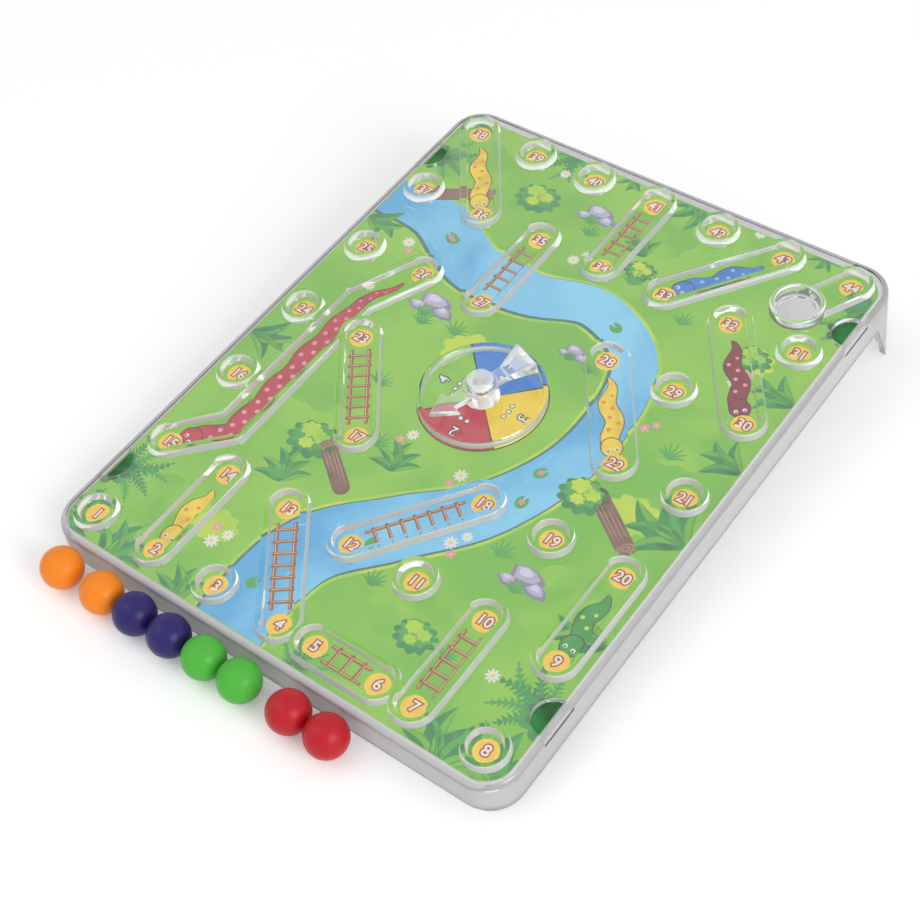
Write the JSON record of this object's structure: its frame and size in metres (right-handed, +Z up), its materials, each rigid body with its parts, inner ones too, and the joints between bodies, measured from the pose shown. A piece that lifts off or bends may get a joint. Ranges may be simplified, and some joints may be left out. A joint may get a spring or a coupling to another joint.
{
  "type": "travel board game",
  "caption": "Clear plastic travel snakes and ladders board on rear legs, with walled wells and tracks over a printed card, a free-spinning arrow and loose balls.",
  "frame": {"origin": "on the table, under the middle of the box that holds the board and the row of balls", "axes": "X along the short edge with square 1 at the negative end, Y away from the player, Z up"},
  "size_m": [0.13, 0.1802, 0.025],
  "materials": {
    "clear_plastic": "clear moulded polystyrene, glossy",
    "clear_spinner": "clear moulded polystyrene, glossy",
    "card": "printed card with a thin matt coat",
    "ball_orange": "satin",
    "ball_blue": "satin",
    "ball_green": "satin",
    "ball_red": "satin"
  },
  "bodies": {
    "board": {"clear_board": "clear_plastic", "printed_card": "card", "dial_ring": "clear_plastic", "finish_cup": "clear_plastic", "spinner_pin": "clear_spinner", "well_01": "clear_plastic", "well_03": "clear_plastic", "well_08": "clear_plastic", "well_11": "clear_plastic", "well_16": "clear_plastic", "well_19": "clear_plastic", "well_21": "clear_plastic", "well_24": "clear_plastic", "well_25": "clear_plastic", "well_29": "clear_plastic", "well_31": "clear_plastic", "well_37": "clear_plastic", "well_39": "clear_plastic", "well_40": "clear_plastic", "well_42": "clear_plastic", "snake_track_38_36": "clear_plastic", "snake_track_26_15": "clear_plastic", "snake_track_14_02": "clear_plastic", "snake_track_43_33": "clear_plastic", "snake_track_32_30": "clear_plastic", "snake_track_28_22": "clear_plastic", "snake_track_20_09": "clear_plastic", "ladder_track_04_13": "clear_plastic", "ladder_track_05_06": "clear_plastic", "ladder_track_07_10": "clear_plastic", "ladder_track_12_18": "clear_plastic", "ladder_track_17_23": "clear_plastic", "ladder_track_27_35": "clear_plastic", "ladder_track_34_41": "clear_plastic", "finish_track": "clear_plastic"},
    "arrow": {"spinner_arrow": "clear_spinner"},
    "ball_orange_1_body": {"ball_orange_1": "ball_orange"},
    "ball_orange_2_body": {"ball_orange_2": "ball_orange"},
    "ball_blue_1_body": {"ball_blue_1": "ball_blue"},
    "ball_blue_2_body": {"ball_blue_2": "ball_blue"},
    "ball_green_1_body": {"ball_green_1": "ball_green"},
    "ball_green_2_body": {"ball_green_2": "ball_green"},
    "ball_red_1_body": {"ball_red_1": "ball_red"},
    "ball_red_2_body": {"ball_red_2": "ball_red"}
  },
  "joints": [
    {"name": "arrow_spin", "type": "hinge", "parent": "board", "child": "arrow", "pos_m": [0, 0.00439, 0.01605], "axis": [0, -0.0861, 0.9963], "continuous": true},
    {"name": "ball_orange_1_lift", "type": "slide", "parent": "board", "child": "ball_orange_1_body", "axis": [0, 0, 1], "range_m": [0, 0.03]},
    {"name": "ball_orange_2_lift", "type": "slide", "parent": "board", "child": "ball_orange_2_body", "axis": [0, 0, 1], "range_m": [0, 0.03]},
    {"name": "ball_blue_1_lift", "type": "slide", "parent": "board", "child": "ball_blue_1_body", "axis": [0, 0, 1], "range_m": [0, 0.03]},
    {"name": "ball_blue_2_lift", "type": "slide", "parent": "board", "child": "ball_blue_2_body", "axis": [0, 0, 1], "range_m": [0, 0.03]},
    {"name": "ball_green_1_lift", "type": "slide", "parent": "board", "child": "ball_green_1_body", "axis": [0, 0, 1], "range_m": [0, 0.03]},
    {"name": "ball_green_2_lift", "type": "slide", "parent": "board", "child": "ball_green_2_body", "axis": [0, 0, 1], "range_m": [0, 0.03]},
    {"name": "ball_red_1_lift", "type": "slide", "parent": "board", "child": "ball_red_1_body", "axis": [0, 0, 1], "range_m": [0, 0.03]},
    {"name": "ball_red_2_lift", "type": "slide", "parent": "board", "child": "ball_red_2_body", "axis": [0, 0, 1], "range_m": [0, 0.03]}
  ]
}
